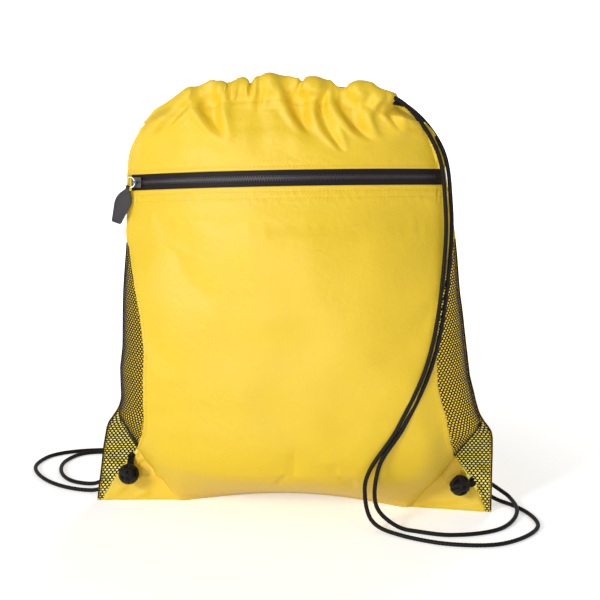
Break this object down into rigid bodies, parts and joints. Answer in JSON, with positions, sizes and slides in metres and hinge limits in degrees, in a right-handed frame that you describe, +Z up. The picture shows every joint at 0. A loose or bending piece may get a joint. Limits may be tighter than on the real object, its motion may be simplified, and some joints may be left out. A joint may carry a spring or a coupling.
{
  "type": "drawstring backpack",
  "caption": "Stuffed drawstring backpack with gathered mouth, mesh sides, zipped front pocket and two cord straps knotted at the bottom corners.",
  "frame": {"origin": "on the floor under the middle of the bag's body, cords left out", "axes": "+Z up, +X to the wearer's side seen from the front on the right, +Y to the back"},
  "size_m": [0.5018, 0.2337, 0.4095],
  "materials": {
    "yellow_polyester": "coated woven polyester, slight sheen",
    "black_mesh": "open knit net",
    "lining": "thin woven polyester",
    "zipper_tape": "ribbed twill tape",
    "zipper_coil": "moulded nylon coil",
    "slider": "black painted die-cast metal",
    "ring": "bright steel wire",
    "pull": "moulded soft plastic, satin",
    "cord": "braided polyester"
  },
  "bodies": {
    "bag": {"front_panel": "yellow_polyester", "front_yoke": "yellow_polyester", "back_panel": "yellow_polyester", "mesh_side_left": "black_mesh", "mesh_side_right": "black_mesh", "tunnel_front": "yellow_polyester", "tunnel_back": "yellow_polyester", "pocket_lining": "lining", "zipper_tape_lower": "zipper_tape", "zipper_tape_upper": "zipper_tape", "zipper_coil_lower": "zipper_coil", "zipper_coil_upper": "zipper_coil", "drawcord_left": "cord", "drawcord_right": "cord", "knot_left": "cord", "knot_right": "cord"},
    "slider": {"slider_body": "slider", "slider_crown": "slider"},
    "ring": {"pull_ring": "ring"},
    "tab": {"pull_tab": "pull"}
  },
  "joints": [
    {"name": "zip_travel", "type": "hinge", "parent": "bag", "child": "slider", "pos_m": [-0.00627, 0.1866, 0.27255], "axis": [-0.0341, 0.2079, 0.9776], "range_deg": [0, 66], "deforming": ["zipper_coil_lower", "zipper_coil_upper"]},
    {"name": "ring_swing", "type": "hinge", "parent": "slider", "child": "ring", "pos_m": [-0.14585, -0.0065, 0.30874], "axis": [-0.0341, 0.2079, 0.9776], "range_deg": [-5, 45]},
    {"name": "tab_swing", "type": "hinge", "parent": "ring", "child": "tab", "pos_m": [-0.15248, -0.0065, 0.30401], "axis": [-0.9455, 0, 0.3256], "range_deg": [-1, 80]}
  ]
}
